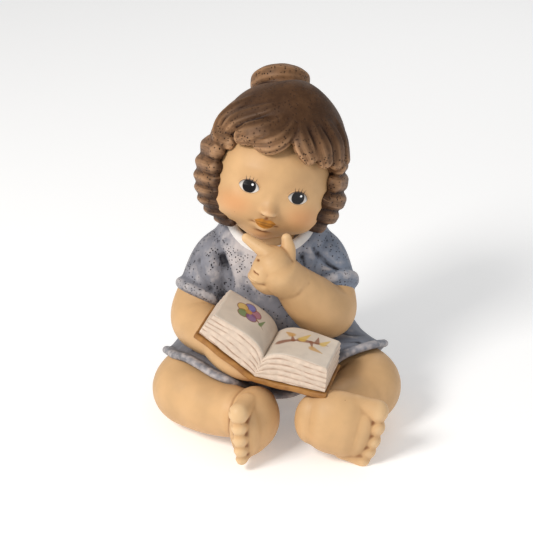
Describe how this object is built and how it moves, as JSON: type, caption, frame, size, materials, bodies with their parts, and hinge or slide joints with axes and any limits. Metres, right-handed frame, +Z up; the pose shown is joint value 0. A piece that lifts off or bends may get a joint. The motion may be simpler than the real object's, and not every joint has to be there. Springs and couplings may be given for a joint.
{
  "type": "reading girl figurine",
  "caption": "Seated toddler girl with a bun and an open book in her lap, a hand at her chin: a cast bisque porcelain figurine with a flat seat to stand on a shelf.",
  "frame": {"origin": "on the floor, in the middle of her flat seat", "axes": "+Z up, -Y the way she faces, +X towards her own left"},
  "size_m": [0.1372, 0.1568, 0.1852],
  "materials": {
    "skin": "matt bisque porcelain with a warm peach wash",
    "hair": "matt brown stain, darker in the creases, with pin holes",
    "dress": "matt grey-blue wash with pin holes and paler ridges",
    "collar": "matt white",
    "pages": "satin off-white with brown wiped lines on the edges",
    "cover": "matt ochre brown"
  },
  "bodies": {
    "root": {"reading_girl": "skin"}
  },
  "joints": []
}
